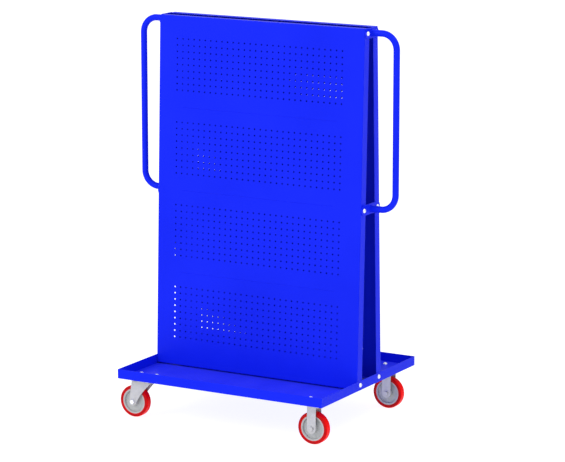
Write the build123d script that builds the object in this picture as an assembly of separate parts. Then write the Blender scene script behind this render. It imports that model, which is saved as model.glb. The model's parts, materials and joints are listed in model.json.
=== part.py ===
from build123d import *
import math
import os

# Mobile pegboard display stand: a shallow tray on four castors carries two perforated
# sheet-steel panels that lean together, tied by straps that also hold two tube handles.
# Frame: +Z up, X along the panels, Y from front to back, origin on the floor under the
# middle of the tray. All sizes are in millimetres.

# Tray
TRAY_LENGTH = 902.0
TRAY_DEPTH = 754.0
TRAY_RIM_HEIGHT = 37.5
TRAY_UNDERSIDE = 163.0
SHEET = 1.5
BEND_RADIUS = 3.0

# Panels, in their own frame: X across, Y up the slope from the foot, Z outward
PANEL_WIDTH = 898.0
PANEL_HEIGHT = 1375.0
PANEL_LEAN = 1.87
PANEL_FOOT_Y = 97.8
PANEL_FOOT_Z = TRAY_UNDERSIDE + 6.6
SIDE_FLANGE_DEPTH = 38.5
TOP_FLANGE_DEPTH = 30.0
FOOT_FLANGE_DEPTH = 20.0

# Peg holes: four fields on one 25 mm grid
PEG_HOLE_RADIUS = 3.25
PEG_PITCH = 25.0
PEG_COLUMNS = 30
PEG_ROWS = 9
PEG_FIELDS = 4
FIELD_PITCH = 13 * PEG_PITCH
LOWEST_ROW = 111.9
GRID_OFFSET = -5.3

# Fine creases pressed in the plain bands between the fields
CREASE_ABOVE_LOWEST_ROW = 258.5
CREASE_LENGTH = 680.0
CREASE_RADIUS = 1.5
CREASE_DEPTH = 0.9

# Straps and handles
STRAP_HEIGHT = 40.0
STRAP_THICKNESS = 3.0
STRAP_INNER_X = PANEL_WIDTH / 2
STRAP_OUTER_X = STRAP_INNER_X + STRAP_THICKNESS
UPPER_STRAP_Z = TRAY_UNDERSIDE + 1361.0
LOWER_STRAP_Z = TRAY_UNDERSIDE + 693.0
UPPER_STRAP_BOLT_Y = 32.0
LOWER_STRAP_BOLT_Y = 53.5
HANDLE_RADIUS = 12.5
HANDLE_WALL = 2.0
HANDLE_REACH_X = 556.5
HANDLE_BEND = 60.0

# M8 button-head screws, shared by straps, rims and castors
SCREW_RADIUS = 4.0
SCREW_HOLE_RADIUS = 4.3
HEAD_RADIUS = 8.75
HEAD_HEIGHT = 6.5
SOCKET_ACROSS_FLATS = 5.0
SOCKET_DEPTH = 2.8
NUT_ACROSS_FLATS = 13.0
NUT_HEIGHT = 6.5
NUT_BORE_RADIUS = 4.05
NUT_CHAMFER = 0.12
WASHER_RADIUS = 8.0
WASHER_HEIGHT = 1.5
SIDE_SCREW_LENGTH = 14.0
CASTOR_SCREW_OVERHANG = 1.0
RIM_BOLT_Y = 75.5
RIM_BOLT_Z = TRAY_UNDERSIDE + 22.0

# Castors: swivelling at -X, rigid at +X
CASTOR_X = 377.0
CASTOR_Y = 302.0
CASTOR_BOLT_PITCH = 70.0
PLATE_SIZE = 95.0
PLATE_CORNER = 8.0
PLATE_THICKNESS = 3.0
PLATE_UNDERSIDE = TRAY_UNDERSIDE - PLATE_THICKNESS
SWIVEL_TRAIL = 41.0

# Wheel: tyre on a hub that turns on a sleeve clamped between the fork legs
WHEEL_RADIUS = 62.5
WHEEL_WIDTH = 32.0
SHOULDER_RADIUS = 6.5
HUB_RADIUS = 49.0
HUB_RIM_WIDTH = 27.0
HUB_RIM_INNER_RADIUS = 43.0
HUB_WEB_WIDTH = 12.0
HUB_BOSS_RADIUS = 17.0
HUB_BOSS_WIDTH = 39.0
HUB_SLOPE = 2.0
BEARING_OUTER_RADIUS = 10.5
BEARING_INNER_RADIUS = 7.55
SLEEVE_OUTER_RADIUS = 7.5
SLEEVE_INNER_RADIUS = 5.1
AXLE_RADIUS = 5.0
AXLE_HOLE_RADIUS = 5.2
AXLE_HEAD_ACROSS_FLATS = 16.0
AXLE_HEAD_HEIGHT = 6.4
AXLE_NUT_HEIGHT = 8.0
AXLE_NUT_BORE_RADIUS = 5.05
AXLE_END_OVERHANG = 2.0

# Fork and bracket legs
LEG_THICKNESS = 3.0
LEG_GAP = 40.0
LEG_OUTER_WIDTH = LEG_GAP + 2 * LEG_THICKNESS
LEG_BEND = 6.0
FORK_LEG_END_RADIUS = 15.5
FORK_CROWN_BACK = 44.0
FORK_CROWN_FRONT = 47.0
FORK_CROWN_TOP = 149.0
FORK_CROWN_THICKNESS = 4.0
FORK_HOLLOW_RADIUS = 320.0
FORK_HOLLOW_X = 256.2
FORK_HOLLOW_Z = -92.3
BRACKET_LEG_WIDTH = 37.0

# Swivel head
RACE_UNDERSIDE = 153.5
RACE_RADIUS = 29.0
SKIRT_OUTER_RADIUS = 34.5
SKIRT_THICKNESS = 2.5
SKIRT_BOTTOM = 149.8
BALL_RADIUS = 3.0
BALL_CIRCLE_RADIUS = 24.0
BALL_CENTRE_Z = 152.0
BALL_COUNT = 18
PLATE_GROOVE_RADIUS = 3.05
CROWN_GROOVE_RADIUS = 3.35
CROWN_RACE_RADIUS = 31.0
CROWN_RACE_TOP = 150.5
KING_RADIUS = 6.0
KING_HOLE_RADIUS = 6.08
KING_HEAD_RADIUS = 12.0
KING_POCKET_RADIUS = 12.3
KING_POCKET_FLOOR = 158.0
KING_HEAD_HEIGHT = 4.5
KING_NUT_HEIGHT = 10.0
KING_NUT_ACROSS_FLATS = 18.0
KING_NUT_GAP = 0.4
KING_NUT_BORE_RADIUS = 6.05
KING_END_OVERHANG = 2.0


def save(shape, node):
    """Write one node's solids."""
    export_step(shape, f"parts/{node}.step")


def upright_cylinder(radius, bottom, top):
    """Cylinder on the Z axis between two heights."""
    return Pos(0, 0, (bottom + top) / 2) * Cylinder(radius, top - bottom)


def box_between(low, high):
    """Box from its lowest to its highest corner."""
    size = [b - a for a, b in zip(low, high)]
    middle = [(a + b) / 2 for a, b in zip(low, high)]
    return Pos(*middle) * Box(*size)


def hexagon(across_flats):
    return RegularPolygon(across_flats / math.sqrt(3), 6)


def grid_points(pitch):
    """Four corners of a square pattern."""
    half = pitch / 2
    return [(x, y) for x in (-half, half) for y in (-half, half)]


# ---------------------------------------------------------------- fasteners


def button_screw(length):
    """Button-head socket screw: head above Z = 0, shank below."""
    dome_radius = (HEAD_RADIUS**2 + HEAD_HEIGHT**2) / (2 * HEAD_HEIGHT)
    dome = Pos(0, 0, HEAD_HEIGHT - dome_radius) * Sphere(dome_radius)
    head = dome & upright_cylinder(HEAD_RADIUS, 0, HEAD_HEIGHT)
    socket_floor = HEAD_HEIGHT - SOCKET_DEPTH
    socket = Pos(0, 0, socket_floor) * extrude(hexagon(SOCKET_ACROSS_FLATS), SOCKET_DEPTH)
    return head - socket + upright_cylinder(SCREW_RADIUS, -length, 0)


def hex_nut(across_flats, height, bore_radius):
    """Nut with chamfered corners, from Z = 0 down."""
    block = Pos(0, 0, -height) * extrude(hexagon(across_flats), height)
    corner_radius = across_flats / math.sqrt(3)
    cone = Pos(0, 0, -height / 2) * Cylinder(corner_radius, height)
    cone = chamfer(cone.edges().filter_by(GeomType.CIRCLE), NUT_CHAMFER * corner_radius)
    return (block & cone) - upright_cylinder(bore_radius, -height, 0)


def side_facing(shape, side, x, y, z):
    """Turn a fastener so that its head points along +X or -X, and place it."""
    turned = Rot(0, 90 * side, 0) * shape
    return Pos(side * x, y, z) * turned


def strap_bolt_places():
    """Side, Y and Z of the eight strap bolts."""
    rows = ((UPPER_STRAP_BOLT_Y, UPPER_STRAP_Z), (LOWER_STRAP_BOLT_Y, LOWER_STRAP_Z))
    return [(side, end * y, z) for side in (-1, 1) for y, z in rows for end in (-1, 1)]


def rim_bolt_places():
    return [(side, end * RIM_BOLT_Y, RIM_BOLT_Z) for side in (-1, 1) for end in (-1, 1)]


def castor_places():
    """Name, X and Y of the four castor plates' centres."""
    return {
        "front_left": (-CASTOR_X, -CASTOR_Y),
        "back_left": (-CASTOR_X, CASTOR_Y),
        "front_right": (CASTOR_X, -CASTOR_Y),
        "back_right": (CASTOR_X, CASTOR_Y),
    }


def castor_bolt_places():
    """X and Y of the sixteen castor bolts."""
    corners = grid_points(CASTOR_BOLT_PITCH)
    return [(x + dx, y + dy) for x, y in castor_places().values() for dx, dy in corners]


def build_side_fasteners():
    screw = button_screw(SIDE_SCREW_LENGTH)
    nut = hex_nut(NUT_ACROSS_FLATS, NUT_HEIGHT, NUT_BORE_RADIUS)
    flange_inside = PANEL_WIDTH / 2 - SHEET
    rows = {
        "strap": (strap_bolt_places(), STRAP_OUTER_X),
        "rim": (rim_bolt_places(), TRAY_LENGTH / 2),
    }
    for name, (places, head_x) in rows.items():
        screws = [side_facing(screw, s, head_x, y, z) for s, y, z in places]
        nuts = [side_facing(nut, s, flange_inside, y, z) for s, y, z in places]
        save(Compound(screws), f"{name}_bolts")
        save(Compound(nuts), f"{name}_nuts")


def build_castor_fasteners():
    floor_top = TRAY_UNDERSIDE + SHEET
    nut_top = PLATE_UNDERSIDE - WASHER_HEIGHT
    screw_end = nut_top - NUT_HEIGHT - CASTOR_SCREW_OVERHANG
    screw = button_screw(floor_top - screw_end)
    nut = hex_nut(NUT_ACROSS_FLATS, NUT_HEIGHT, NUT_BORE_RADIUS)
    washer = upright_cylinder(WASHER_RADIUS, nut_top, PLATE_UNDERSIDE)
    washer -= upright_cylinder(SCREW_HOLE_RADIUS, nut_top, PLATE_UNDERSIDE)
    places = castor_bolt_places()
    save(Compound([Pos(x, y, floor_top) * screw for x, y in places]), "castor_bolts")
    save(Compound([Pos(x, y, 0) * washer for x, y in places]), "castor_washers")
    save(Compound([Pos(x, y, nut_top) * nut for x, y in places]), "castor_nuts")


# --------------------------------------------------------------------- tray


def build_tray():
    """Folded tray: floor with four upturned rims, and holes for castors and panels."""
    half_x = TRAY_LENGTH / 2
    half_y = TRAY_DEPTH / 2
    top = TRAY_UNDERSIDE + TRAY_RIM_HEIGHT
    outer = box_between((-half_x, -half_y, TRAY_UNDERSIDE), (half_x, half_y, top))
    outer = fillet(outer.edges().group_by(Axis.Z)[0], BEND_RADIUS)
    inner_low = (SHEET - half_x, SHEET - half_y, TRAY_UNDERSIDE + SHEET)
    inner_high = (half_x - SHEET, half_y - SHEET, top + 2 * BEND_RADIUS)
    inner = box_between(inner_low, inner_high)
    inner = fillet(inner.edges().group_by(Axis.Z)[0], BEND_RADIUS - SHEET)
    tray = outer - inner
    for x, y in castor_bolt_places():
        tray -= Pos(x, y, TRAY_UNDERSIDE) * Cylinder(SCREW_HOLE_RADIUS, 4 * SHEET)
    for side, y, z in rim_bolt_places():
        hole = Cylinder(SCREW_HOLE_RADIUS, 4 * SHEET)
        tray -= side_facing(hole, side, half_x, y, z)
    save(tray, "base_tray")


# ------------------------------------------------------------------- panels


def panel_pan():
    """Face with side, top and foot flanges, all bent from one sheet."""
    half = PANEL_WIDTH / 2
    top = PANEL_HEIGHT
    outer = box_between((-half, 0, -SIDE_FLANGE_DEPTH), (half, top, 0))
    outer_bends = outer.edges().group_by(Axis.Z)[-1] + outer.edges().filter_by(Axis.Z)
    outer = fillet(outer_bends, BEND_RADIUS)
    depth = 2 * SIDE_FLANGE_DEPTH
    inner = box_between((SHEET - half, SHEET, -depth), (half - SHEET, top - SHEET, -SHEET))
    inner_bends = inner.edges().group_by(Axis.Z)[-1] + inner.edges().filter_by(Axis.Z)
    inner = fillet(inner_bends, BEND_RADIUS - SHEET)
    pan = outer - inner
    reach = half - BEND_RADIUS
    trim = 2 * BEND_RADIUS
    pan -= box_between((-reach, top - trim, -depth), (reach, top + trim, -TOP_FLANGE_DEPTH))
    pan -= box_between((-reach, -trim, -depth), (reach, trim, -FOOT_FLANGE_DEPTH))
    return pan


def peg_hole_centres():
    """Centres of all peg holes in the panel's own frame."""
    first_column = GRID_OFFSET - (PEG_COLUMNS - 1) * PEG_PITCH / 2
    centres = []
    for field in range(PEG_FIELDS):
        for row in range(PEG_ROWS):
            y = LOWEST_ROW + field * FIELD_PITCH + row * PEG_PITCH
            centres += [(first_column + c * PEG_PITCH, y) for c in range(PEG_COLUMNS)]
    return centres


def perforated_sheet(margin):
    """Flat middle of the panel's face with all its peg holes."""
    half = PANEL_WIDTH / 2 - margin
    top = PANEL_HEIGHT - margin
    corners = [(-half, margin), (half, margin), (half, top), (-half, top)]
    outline = Wire.make_polygon([(x, y, 0) for x, y in corners], close=True)
    holes = [Wire.make_circle(PEG_HOLE_RADIUS, Plane((x, y, 0))) for x, y in peg_hole_centres()]
    return extrude(Face(outline, holes), -SHEET, dir=(0, 0, 1))


def capsule(radius, length):
    """Round-ended bar along X."""
    bar = Rot(0, 90, 0) * Cylinder(radius, length)
    ends = [Pos(side * length / 2, 0, 0) * Sphere(radius) for side in (-1, 1)]
    return bar + ends


def add_creases(panel):
    """Press a fine crease in each plain band, with its ridge on the inside."""
    straight = CREASE_LENGTH - 2 * CREASE_RADIUS
    groove = capsule(CREASE_RADIUS, straight)
    ridge = capsule(CREASE_RADIUS + SHEET, straight)
    lift = CREASE_RADIUS - CREASE_DEPTH
    ridge = Pos(0, 0, lift) * ridge
    ridge -= box_between((-CREASE_LENGTH, -PEG_PITCH, -SHEET), (CREASE_LENGTH, PEG_PITCH, PEG_PITCH))
    for field in range(PEG_FIELDS - 1):
        y = LOWEST_ROW + CREASE_ABOVE_LOWEST_ROW + field * FIELD_PITCH
        panel += Pos(0, y, 0) * ridge
        panel -= Pos(0, y, lift) * groove
    return panel


def lean_panel(panel):
    """Stand the panel on the front of the tray, leaning back."""
    foot = Plane((0, -PANEL_FOOT_Y, PANEL_FOOT_Z), x_dir=(1, 0, 0), z_dir=outward_normal())
    return foot.location * panel


def outward_normal():
    """Outward direction of the front panel's face."""
    lean = math.radians(PANEL_LEAN)
    return (0, -math.cos(lean), math.sin(lean))


def build_panels():
    """Two identical panels, the back one turned half round."""
    margin = 2 * BEND_RADIUS
    half = PANEL_WIDTH / 2 - margin
    window = box_between((-half, margin, -4 * SHEET), (half, PANEL_HEIGHT - margin, SHEET))
    panel = (panel_pan() - window) + perforated_sheet(margin)
    panel = lean_panel(add_creases(panel))
    for side, y, z in strap_bolt_places() + rim_bolt_places():
        if y < 0:
            hole = Cylinder(SCREW_HOLE_RADIUS, 4 * SHEET)
            panel -= side_facing(hole, side, PANEL_WIDTH / 2, y, z)
    save(panel, "front_panel")
    save(Rot(0, 0, 180) * panel, "back_panel")


# ------------------------------------------------------- straps and handles


def strap(bolt_y, z):
    """Flat bar with round ends about its two bolts, on the +X side."""
    outline = SlotCenterToCenter(2 * bolt_y, STRAP_HEIGHT)
    for end in (-1, 1):
        outline -= Pos(end * bolt_y, 0) * Circle(SCREW_HOLE_RADIUS)
    face = Plane((STRAP_INNER_X, 0, z), x_dir=(0, 1, 0), z_dir=(1, 0, 0))
    return extrude(face * outline, STRAP_THICKNESS)


def handle():
    """Bent tube between the two straps of the +X side."""
    corners = [
        (STRAP_OUTER_X, 0, UPPER_STRAP_Z),
        (HANDLE_REACH_X, 0, UPPER_STRAP_Z),
        (HANDLE_REACH_X, 0, LOWER_STRAP_Z),
        (STRAP_OUTER_X, 0, LOWER_STRAP_Z),
    ]
    path = FilletPolyline(*corners, radius=HANDLE_BEND)
    start = Plane(corners[0], z_dir=(1, 0, 0))
    ring = Circle(HANDLE_RADIUS) - Circle(HANDLE_RADIUS - HANDLE_WALL)
    return sweep(start * ring, path)


def build_sides():
    pieces = {
        "upper_strap": strap(UPPER_STRAP_BOLT_Y, UPPER_STRAP_Z),
        "lower_strap": strap(LOWER_STRAP_BOLT_Y, LOWER_STRAP_Z),
        "handle": handle(),
    }
    for name, piece in pieces.items():
        save(piece, f"right_{name}")
        save(Rot(0, 0, 180) * piece, f"left_{name}")


# ------------------------------------------------------------------- wheels


def turned_about_y(points):
    """Revolve a closed outline given as (radius, y) points about the Y axis."""
    outline = Plane.XY * make_face(Polyline(*points, close=True))
    return revolve(outline, Axis.Y)


def hub():
    """Hub with a thick rim, a thinner web and a long boss."""
    rim = HUB_RIM_WIDTH / 2
    web = HUB_WEB_WIDTH / 2
    boss = HUB_BOSS_WIDTH / 2
    upper = [
        (BEARING_OUTER_RADIUS, boss),
        (HUB_BOSS_RADIUS, boss),
        (HUB_BOSS_RADIUS + HUB_SLOPE, web),
        (HUB_RIM_INNER_RADIUS - HUB_SLOPE, web),
        (HUB_RIM_INNER_RADIUS, rim),
        (HUB_RADIUS, rim),
    ]
    lower = [(radius, -y) for radius, y in reversed(upper)]
    return turned_about_y(upper + lower)


def tyre():
    """Tyre with rounded shoulders and bevelled inner edges."""
    half = WHEEL_WIDTH / 2
    bevel = half - HUB_RIM_WIDTH / 2
    points = [
        (HUB_RADIUS, -HUB_RIM_WIDTH / 2),
        (HUB_RADIUS + bevel, -half),
        (WHEEL_RADIUS, -half),
        (WHEEL_RADIUS, half),
        (HUB_RADIUS + bevel, half),
        (HUB_RADIUS, HUB_RIM_WIDTH / 2),
    ]
    ring = turned_about_y(points)
    return fillet(ring.edges().filter_by(outermost_edge), SHOULDER_RADIUS)


def outermost_edge(edge):
    """True for the two circles at the tread's full radius."""
    return edge.geom_type == GeomType.CIRCLE and abs(edge.radius - WHEEL_RADIUS) < 0.01


def ring_about_y(outer_radius, inner_radius, width):
    ring = Cylinder(outer_radius, width) - Cylinder(inner_radius, width)
    return Rot(90, 0, 0) * ring


def axle_bolt():
    """Hexagon bolt along Y with its head at the front."""
    half = LEG_OUTER_WIDTH / 2
    head = extrude(hexagon(AXLE_HEAD_ACROSS_FLATS), AXLE_HEAD_HEIGHT)
    length = LEG_OUTER_WIDTH + AXLE_NUT_HEIGHT + AXLE_END_OVERHANG
    bolt = head + upright_cylinder(AXLE_RADIUS, -length, 0)
    return Pos(0, -half, 0) * (Rot(90, 0, 0) * bolt)


def axle_nut():
    nut = hex_nut(AXLE_HEAD_ACROSS_FLATS, AXLE_NUT_HEIGHT, AXLE_NUT_BORE_RADIUS)
    return Pos(0, LEG_OUTER_WIDTH / 2, 0) * (Rot(90, 0, 0) * nut)


def wheel_pieces():
    """The pieces on one axle, centred on the origin, with the axle along Y."""
    return {
        "wheel_hub": hub(),
        "tyre": tyre(),
        "wheel_bearing": ring_about_y(BEARING_OUTER_RADIUS, BEARING_INNER_RADIUS, HUB_BOSS_WIDTH),
        "axle_sleeve": ring_about_y(SLEEVE_OUTER_RADIUS, SLEEVE_INNER_RADIUS, LEG_GAP),
        "axle_bolt": axle_bolt(),
        "axle_nut": axle_nut(),
    }


# ------------------------------------------------------------------ castors


def castor_plate():
    """Flat mounting plate with four bolt holes, centred on Z."""
    outline = RectangleRounded(PLATE_SIZE, PLATE_SIZE, PLATE_CORNER)
    for x, y in grid_points(CASTOR_BOLT_PITCH):
        outline -= Pos(x, y) * Circle(SCREW_HOLE_RADIUS)
    return Pos(0, 0, PLATE_UNDERSIDE) * extrude(outline, PLATE_THICKNESS)


def leg_outline(axle_x, end_radius, back_x, front_x, top):
    """Leg as seen from the side: round end at the axle, straight top edge."""
    end = Pos(axle_x, WHEEL_RADIUS) * Circle(end_radius)
    crown = Line((back_x, top), (front_x, top))
    return make_hull(end.edges() + crown.edges())


def channel_legs(outline, top, web_thickness):
    """Two legs and the web between them, folded from one strip, cut to the outline."""
    half = LEG_OUTER_WIDTH / 2
    reach = 2 * WHEEL_RADIUS
    outer = box_between((-reach, -half, -1), (reach, half, top))
    top_edges = outer.edges().filter_by(Axis.X).group_by(Axis.Z)[-1]
    outer = fillet(top_edges, LEG_BEND)
    gap = LEG_GAP / 2
    inner = box_between((-reach, -gap, -1), (reach, gap, top - web_thickness))
    inner_edges = inner.edges().filter_by(Axis.X).group_by(Axis.Z)[-1]
    inner = fillet(inner_edges, LEG_BEND - LEG_THICKNESS)
    side_view = Plane.XZ * outline
    return (outer - inner) & extrude(side_view, LEG_OUTER_WIDTH, both=True)


def axle_hole(axle_x):
    hole = Rot(90, 0, 0) * Cylinder(AXLE_HOLE_RADIUS, 2 * LEG_OUTER_WIDTH)
    return Pos(axle_x, 0, WHEEL_RADIUS) * hole


def race_groove(radius):
    return Pos(0, 0, BALL_CENTRE_Z) * Torus(BALL_CIRCLE_RADIUS, radius)


def swivel_plate():
    """Mounting plate with the upper ball race, a pocket for the king bolt and a skirt."""
    race = upright_cylinder(RACE_RADIUS, RACE_UNDERSIDE, PLATE_UNDERSIDE)
    skirt = upright_cylinder(SKIRT_OUTER_RADIUS, SKIRT_BOTTOM, PLATE_UNDERSIDE)
    skirt -= upright_cylinder(SKIRT_OUTER_RADIUS - SKIRT_THICKNESS, SKIRT_BOTTOM, PLATE_UNDERSIDE)
    plate = castor_plate() + race + skirt
    plate -= upright_cylinder(KING_POCKET_RADIUS, KING_POCKET_FLOOR, TRAY_UNDERSIDE)
    plate -= upright_cylinder(KING_HOLE_RADIUS, RACE_UNDERSIDE, TRAY_UNDERSIDE)
    return plate - race_groove(PLATE_GROOVE_RADIUS)


def swivel_fork():
    """Fork with the lower ball race and hollowed front edges, trailing towards -X."""
    outline = leg_outline(
        -SWIVEL_TRAIL, FORK_LEG_END_RADIUS, -FORK_CROWN_BACK, FORK_CROWN_FRONT, FORK_CROWN_TOP
    )
    outline -= Pos(FORK_HOLLOW_X, FORK_HOLLOW_Z) * Circle(FORK_HOLLOW_RADIUS)
    fork = channel_legs(outline, FORK_CROWN_TOP, FORK_CROWN_THICKNESS)
    underside = FORK_CROWN_TOP - FORK_CROWN_THICKNESS
    fork += upright_cylinder(CROWN_RACE_RADIUS, underside, CROWN_RACE_TOP)
    fork -= upright_cylinder(KING_HOLE_RADIUS, underside, CROWN_RACE_TOP)
    fork -= race_groove(CROWN_GROOVE_RADIUS)
    return fork - axle_hole(-SWIVEL_TRAIL)


def king_bolt():
    nut_top = FORK_CROWN_TOP - FORK_CROWN_THICKNESS - KING_NUT_GAP
    end = nut_top - KING_NUT_HEIGHT - KING_END_OVERHANG
    head_top = KING_POCKET_FLOOR + KING_HEAD_HEIGHT
    head = upright_cylinder(KING_HEAD_RADIUS, KING_POCKET_FLOOR, head_top)
    return head + upright_cylinder(KING_RADIUS, end, KING_POCKET_FLOOR)


def king_nut():
    nut = hex_nut(KING_NUT_ACROSS_FLATS, KING_NUT_HEIGHT, KING_NUT_BORE_RADIUS)
    nut_top = FORK_CROWN_TOP - FORK_CROWN_THICKNESS - KING_NUT_GAP
    return Pos(0, 0, nut_top) * nut


def swivel_balls():
    ring = PolarLocations(BALL_CIRCLE_RADIUS, BALL_COUNT)
    lift = Pos(0, 0, BALL_CENTRE_Z)
    return Compound([lift * place * Sphere(BALL_RADIUS) for place in ring])


def rigid_bracket():
    """Mounting plate with two straight legs."""
    half = BRACKET_LEG_WIDTH / 2
    outline = leg_outline(0, half, -half, half, PLATE_UNDERSIDE)
    legs = channel_legs(outline, PLATE_UNDERSIDE, LEG_THICKNESS)
    return castor_plate() + legs - axle_hole(0)


def swivel_castor_pieces():
    return {
        "castor_plate": swivel_plate(),
        "fork": swivel_fork(),
        "king_bolt": king_bolt(),
        "king_nut": king_nut(),
        "swivel_balls": swivel_balls(),
    }


def build_castors():
    wheel = wheel_pieces()
    heads = {-1: swivel_castor_pieces(), 1: {"bracket": rigid_bracket()}}
    trails = {-1: -SWIVEL_TRAIL, 1: 0.0}
    for name, (x, y) in castor_places().items():
        side = 1 if x > 0 else -1
        for piece_name, piece in heads[side].items():
            save(Pos(x, y, 0) * piece, f"{name}_{piece_name}")
        for piece_name, piece in wheel.items():
            save(Pos(x + trails[side], y, WHEEL_RADIUS) * piece, f"{name}_{piece_name}")


os.makedirs("parts", exist_ok=True)
build_tray()
build_panels()
build_sides()
build_side_fasteners()
build_castor_fasteners()
build_castors()
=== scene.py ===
import json
import math

import bmesh
import bpy
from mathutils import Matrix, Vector


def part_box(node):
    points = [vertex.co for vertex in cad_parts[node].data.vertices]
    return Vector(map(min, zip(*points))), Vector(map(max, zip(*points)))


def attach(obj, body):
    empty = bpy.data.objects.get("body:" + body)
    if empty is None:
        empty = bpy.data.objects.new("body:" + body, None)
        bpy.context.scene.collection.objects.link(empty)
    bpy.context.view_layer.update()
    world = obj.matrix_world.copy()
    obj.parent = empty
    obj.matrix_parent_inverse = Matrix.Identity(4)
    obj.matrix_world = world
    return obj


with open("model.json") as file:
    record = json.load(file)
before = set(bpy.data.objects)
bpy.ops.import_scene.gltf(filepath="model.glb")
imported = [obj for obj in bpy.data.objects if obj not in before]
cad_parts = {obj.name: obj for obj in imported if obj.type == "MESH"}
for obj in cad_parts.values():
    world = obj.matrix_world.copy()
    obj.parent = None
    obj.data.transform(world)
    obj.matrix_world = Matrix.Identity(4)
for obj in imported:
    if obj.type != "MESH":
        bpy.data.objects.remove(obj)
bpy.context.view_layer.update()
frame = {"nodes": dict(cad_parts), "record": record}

# Looks of a mobile pegboard display stand. Everything is in metres, in the part's frame:
# Z up, X along the panels, Y from front to back, origin on the floor.

MM = 0.001

# Weld beads round the ends of the handle tubes
TUBE_RADIUS = 12.5 * MM
WELD_RADIUS = 2.0 * MM
WELD_RIPPLE = 0.25 * MM
WELD_WAVES = 26
STEPS_PER_WAVE = 8
RING_CORNERS = 12

# Camera
CAMERA_AZIMUTH = math.radians(29.77)
CAMERA_ELEVATION = math.radians(11.41)
CAMERA_DISTANCE = 10.7145
CAMERA_LENS = 177.16
CAMERA_TARGET = Vector((0.0672, 0.0, 0.7311))
CAMERA_REACH = 200
SENSOR_WIDTH = 36

# Floor and studio
WHITE = (1, 1, 1, 1)
FLOOR_SIZE = 60.0
FLOOR_GREY = (0.38, 0.38, 0.38, 1)
FLOOR_GLOW = 0.88
FRONT_SKY = 1.25
BACK_SKY = 0.45
LIGHT_SIZE = 3.0
LIGHT_TARGET = Vector((0, 0, 0.75))
KEY_PLACE = Vector((-3.0, -5.5, 4.5))
KEY_POWER = 125
TOP_PLACE = Vector((2.8, 0.3, 5.0))
TOP_POWER = 70

# Colours: the darker and the lighter patches of each material
PAINT = ((0.0045, 0.0155, 0.69), (0.0060, 0.0185, 0.75))
# Paler blue for level upper faces, part dust and part painted light from above.
PAINT_DUST_AND_TOP_LIGHT = (0.028, 0.040, 0.80)
BRIGHT_ZINC = ((0.74, 0.76, 0.80), (0.88, 0.89, 0.92))
GREY_ZINC = ((0.42, 0.42, 0.44), (0.50, 0.50, 0.52))
GREY_NYLON = ((0.34, 0.355, 0.36), (0.41, 0.42, 0.425))
PALE_NYLON = ((0.76, 0.75, 0.68), (0.84, 0.83, 0.77))
TREAD = ((0.76, 0.0008, 0.0008), (0.88, 0.0015, 0.0015))
# Darker red painted on the tyre side walls as shade.
TYRE_WALL_SHADE = (0.36, 0.006, 0.008)


# ---------------------------------------------------------------- materials


class Nodes:
    """A material's node tree, with short calls for the nodes used here."""

    def __init__(self, name):
        self.material = bpy.data.materials.new(name)
        self.material.use_nodes = True
        self.tree = self.material.node_tree
        self.shader = self.tree.nodes["Principled BSDF"]
        self.place = self.add("ShaderNodeTexCoord").outputs["Object"]

    def add(self, kind, **inputs):
        node = self.tree.nodes.new(kind)
        for name, value in inputs.items():
            node.inputs[name.replace("_", " ")].default_value = value
        return node

    def link(self, source, target):
        self.tree.links.new(source, target)

    def noise(self, scale, detail=2.0):
        node = self.add("ShaderNodeTexNoise", Scale=scale, Detail=detail)
        self.link(self.place, node.inputs["Vector"])
        return node.outputs["Fac"]

    def cells(self, scale):
        node = self.add("ShaderNodeTexVoronoi", Scale=scale)
        self.link(self.place, node.inputs["Vector"])
        return node.outputs["Color"]

    def between(self, factor, low, high, start=0.3, stop=0.7):
        """Maps a factor from start to stop onto low to high."""
        node = self.tree.nodes.new("ShaderNodeMapRange")
        node.inputs["From Min"].default_value = start
        node.inputs["From Max"].default_value = stop
        node.inputs["To Min"].default_value = low
        node.inputs["To Max"].default_value = high
        self.link(factor, node.inputs["Value"])
        return node.outputs["Result"]

    def mixed(self, factor, first, second):
        """Colour between two colours."""
        node = self.tree.nodes.new("ShaderNodeMix")
        node.data_type = "RGBA"
        node.inputs["A"].default_value = (*first, 1)
        node.inputs["B"].default_value = (*second, 1)
        self.link(factor, node.inputs["Factor"])
        return node.outputs["Result"]

    def over(self, factor, below, colour):
        """A colour laid over an output."""
        result = self.mixed(factor, colour, colour)
        self.link(below, result.node.inputs["A"])
        return result

    def product(self, first, second):
        node = self.tree.nodes.new("ShaderNodeMath")
        node.operation = "MULTIPLY"
        self.link(first, node.inputs[0])
        self.link(second, node.inputs[1])
        return node.outputs[0]

    def normal(self, axis):
        """One part of the surface's own normal."""
        place = self.add("ShaderNodeTexCoord")
        split = self.add("ShaderNodeSeparateXYZ")
        self.link(place.outputs["Normal"], split.inputs["Vector"])
        return split.outputs[axis]

    def facing_up(self):
        """1 on level upper faces, 0 on all others."""
        return self.between(self.normal("Z"), 0.0, 1.0, 0.93, 0.99)

    def shaded_side_wall(self):
        """1 on faces square to Y, 0 on those along it: the tyre walls where shade is painted.
        """
        across = self.normal("Y")
        return self.between(self.product(across, across), 0.0, 1.0)

    def bump(self, height, strength, distance):
        node = self.add("ShaderNodeBump", Strength=strength, Distance=distance)
        self.link(height, node.inputs["Height"])
        self.link(node.outputs["Normal"], self.shader.inputs["Normal"])

    def set(self, **inputs):
        for name, value in inputs.items():
            self.shader.inputs[name.replace("_", " ")].default_value = value

    def drive(self, name, output):
        self.link(output, self.shader.inputs[name])


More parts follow.
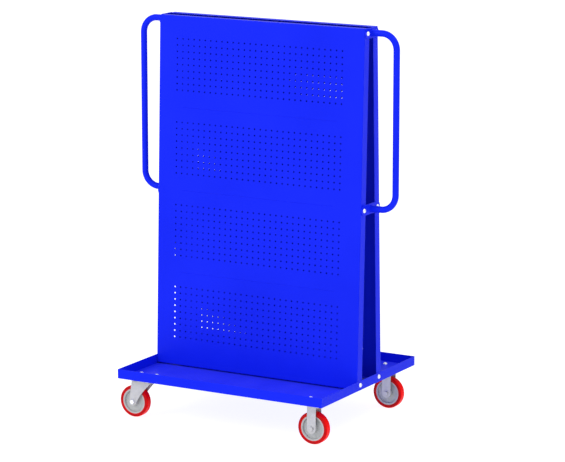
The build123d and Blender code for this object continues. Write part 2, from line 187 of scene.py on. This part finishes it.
def blue_paint():
    """Powder coat: fine orange peel, slight differences in thickness, dust and painted light on
    level faces.
    """
    n = Nodes("blue_paint")
    patches = n.between(n.noise(3.0, 3.0), 0.0, 1.0)
    coat = n.mixed(patches, *PAINT)
    # Level upper faces get the paler blue: dust, with painted light from above.
    dust_and_top_light = n.product(n.facing_up(), n.between(n.noise(9.0, 5.0), 0.6, 1.0))
    n.drive("Base Color", n.over(dust_and_top_light, coat, PAINT_DUST_AND_TOP_LIGHT))
    n.drive("Roughness", n.between(n.noise(14.0, 4.0), 0.30, 0.38))
    n.bump(n.noise(420.0, 1.0), 0.10, 0.0003)
    n.set(Specular_IOR_Level=0.04)
    return n.material


def zinc_steel():
    """Bright zinc plate: small spangles and soft polish."""
    n = Nodes("zinc_steel")
    spangle = n.between(n.cells(260.0), 0.0, 1.0)
    n.drive("Base Color", n.mixed(spangle, *BRIGHT_ZINC))
    n.drive("Roughness", n.between(n.noise(300.0), 0.35, 0.50))
    n.bump(n.noise(900.0), 0.08, 0.0001)
    n.set(Metallic=0.6)
    return n.material


def castor_steel():
    """Pressed steel with a satin grey zinc finish."""
    n = Nodes("castor_steel")
    patches = n.between(n.noise(45.0, 4.0), 0.0, 1.0)
    n.drive("Base Color", n.mixed(patches, *GREY_ZINC))
    n.drive("Roughness", n.between(n.noise(160.0, 3.0), 0.34, 0.48))
    n.bump(n.noise(700.0), 0.12, 0.00015)
    n.set(Metallic=0.35)
    return n.material


def hub_nylon():
    """Grey moulded nylon with a faint texture."""
    n = Nodes("hub_nylon")
    patches = n.between(n.noise(60.0, 3.0), 0.0, 1.0)
    n.drive("Base Color", n.mixed(patches, *GREY_NYLON))
    n.drive("Roughness", n.between(n.noise(200.0), 0.42, 0.55))
    n.bump(n.noise(1200.0), 0.10, 0.0001)
    return n.material


def bearing_nylon():
    """Pale natural nylon."""
    n = Nodes("bearing_nylon")
    patches = n.between(n.noise(120.0), 0.0, 1.0)
    n.drive("Base Color", n.mixed(patches, *PALE_NYLON))
    n.drive("Roughness", n.between(n.noise(300.0), 0.40, 0.50))
    return n.material


def red_polyurethane():
    """Glossy cast polyurethane with faint mould marks."""
    n = Nodes("red_polyurethane")
    patches = n.between(n.noise(30.0, 3.0), 0.0, 1.0)
    tread = n.mixed(patches, *TREAD)
    # Painted shade: the side walls get a darker red than the tread.
    wall_shade = n.product(n.shaded_side_wall(), n.between(n.noise(50.0, 4.0), 0.75, 1.0))
    n.drive("Base Color", n.over(wall_shade, tread, TYRE_WALL_SHADE))
    n.drive("Roughness", n.between(n.noise(90.0, 3.0), 0.22, 0.34))
    n.bump(n.noise(500.0), 0.06, 0.0002)
    n.set(Specular_IOR_Level=0.05)
    return n.material


MATERIALS = {
    "blue_paint": blue_paint(),
    "zinc_steel": zinc_steel(),
    "castor_steel": castor_steel(),
    "hub_nylon": hub_nylon(),
    "bearing_nylon": bearing_nylon(),
    "red_polyurethane": red_polyurethane(),
}


def slot_of(node):
    """The record's material slot of a CAD node."""
    rows = frame["record"]["subparts"]
    return next(row["material_slot"] for row in rows if row["node"] == node)


def dress(obj, slot):
    """Give an object one material of its own kind."""
    obj.data.materials.clear()
    obj.data.materials.append(MATERIALS[slot])


def dress_cad_nodes():
    for name, obj in frame["nodes"].items():
        dress(obj, slot_of(name))


# ------------------------------------------------------------ mesh helpers


def new_piece(name, mesh_maker, body, slot):
    """Make a piece from a bmesh, dress it and let it ride on its body."""
    mesh = bpy.data.meshes.new(name)
    bm = bmesh.new()
    mesh_maker(bm)
    bmesh.ops.recalc_face_normals(bm, faces=bm.faces)
    bm.to_mesh(mesh)
    bm.free()
    obj = bpy.data.objects.new(name, mesh)
    bpy.context.scene.collection.objects.link(obj)
    mesh.shade_smooth()
    dress(obj, slot)
    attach(obj, body)


def skin_rings(bm, rings):
    """Faces between rings of vertices, with the last ring joined to the first."""
    for low, high in zip(rings, rings[1:] + rings[:1]):
        count = len(low)
        for i in range(count):
            j = (i + 1) % count
            bm.faces.new((low[i], low[j], high[j], high[i]))


def weld_bead(bm, centre, outward):
    """Rippled ring of weld round a tube's end, on a face square to X."""
    rings = []
    steps = STEPS_PER_WAVE * WELD_WAVES
    for step in range(steps):
        turn = 2 * math.pi * step / steps
        out = Vector((0, math.cos(turn), math.sin(turn)))
        size = WELD_RADIUS + WELD_RIPPLE * math.sin(WELD_WAVES * turn)
        ring = []
        for corner in range(RING_CORNERS):
            angle = 2 * math.pi * corner / RING_CORNERS
            across = out * (TUBE_RADIUS + size * math.cos(angle))
            along = Vector((outward * size * math.sin(angle), 0, 0))
            ring.append(bm.verts.new(centre + across + along))
        rings.append(ring)
    skin_rings(bm, rings)


def add_welds():
    """Weld where each handle's two ends meet their straps."""
    for side, outward in (("left", -1), ("right", 1)):
        low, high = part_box(f"{side}_handle")
        face = low[0] if outward > 0 else high[0]
        middle = (low[1] + high[1]) / 2
        ends = {"upper": high[2] - TUBE_RADIUS, "lower": low[2] + TUBE_RADIUS}
        for name, height in ends.items():
            centre = Vector((face, middle, height))

            def bead(bm, centre=centre, outward=outward):
                weld_bead(bm, centre, outward)

            new_piece(f"{side}_{name}_weld", bead, "stand", "blue_paint")


# ------------------------------------------------------------------ studio


def make_camera():
    data = bpy.data.cameras.new("camera")
    data.lens = CAMERA_LENS
    data.sensor_width = SENSOR_WIDTH
    data.clip_end = CAMERA_REACH
    camera = bpy.data.objects.new("camera", data)
    away = Vector((
        math.sin(CAMERA_AZIMUTH) * math.cos(CAMERA_ELEVATION),
        -math.cos(CAMERA_AZIMUTH) * math.cos(CAMERA_ELEVATION),
        math.sin(CAMERA_ELEVATION),
    ))
    camera.location = CAMERA_TARGET + away * CAMERA_DISTANCE
    camera.rotation_mode = "QUATERNION"
    camera.rotation_quaternion = (-away).to_track_quat("-Z", "Y")
    bpy.context.scene.collection.objects.link(camera)
    bpy.context.scene.camera = camera


def make_floor():
    mesh = bpy.data.meshes.new("floor")
    half = FLOOR_SIZE / 2
    corners = [(-half, -half, 0), (half, -half, 0), (half, half, 0), (-half, half, 0)]
    mesh.from_pydata(corners, [], [(0, 1, 2, 3)])
    floor = bpy.data.objects.new("floor", mesh)
    bpy.context.scene.collection.objects.link(floor)
    material = bpy.data.materials.new("pale_floor")
    material.use_nodes = True
    shader = material.node_tree.nodes["Principled BSDF"]
    shader.inputs["Base Color"].default_value = FLOOR_GREY
    shader.inputs["Emission Color"].default_value = WHITE
    shader.inputs["Emission Strength"].default_value = FLOOR_GLOW
    shader.inputs["Roughness"].default_value = 0.9
    shader.inputs["Specular IOR Level"].default_value = 0.1
    mesh.materials.append(material)


def area_light(name, place, power):
    """Round soft light aimed at the middle of the stand."""
    data = bpy.data.lights.new(name, "AREA")
    data.shape = "DISK"
    data.size = LIGHT_SIZE
    data.energy = power
    light = bpy.data.objects.new(name, data)
    light.location = place
    light.rotation_mode = "QUATERNION"
    light.rotation_quaternion = (LIGHT_TARGET - place).to_track_quat("-Z", "Y")
    bpy.context.scene.collection.objects.link(light)


def make_sky():
    """Bright in front of the stand and dimmer behind it; the camera itself sees plain white."""
    world = bpy.data.worlds.new("studio")
    world.use_nodes = True
    tree = world.node_tree
    background = tree.nodes["Background"]
    background.inputs["Color"].default_value = WHITE
    direction = tree.nodes.new("ShaderNodeTexCoord")
    split = tree.nodes.new("ShaderNodeSeparateXYZ")
    tree.links.new(direction.outputs["Generated"], split.inputs["Vector"])
    ramp = tree.nodes.new("ShaderNodeMapRange")
    ramp.inputs["From Min"].default_value = -1
    ramp.inputs["To Min"].default_value = FRONT_SKY
    ramp.inputs["To Max"].default_value = BACK_SKY
    tree.links.new(split.outputs["Y"], ramp.inputs["Value"])
    path = tree.nodes.new("ShaderNodeLightPath")
    seen = tree.nodes.new("ShaderNodeMix")
    seen.inputs["B"].default_value = 1.0
    tree.links.new(path.outputs["Is Camera Ray"], seen.inputs["Factor"])
    tree.links.new(ramp.outputs["Result"], seen.inputs["A"])
    tree.links.new(seen.outputs["Result"], background.inputs["Strength"])
    bpy.context.scene.world = world


def make_lights():
    area_light("key", KEY_PLACE, KEY_POWER)
    area_light("top", TOP_PLACE, TOP_POWER)


dress_cad_nodes()
add_welds()
make_camera()
make_floor()
make_sky()
make_lights()
bpy.context.scene.view_settings.view_transform = "Standard"
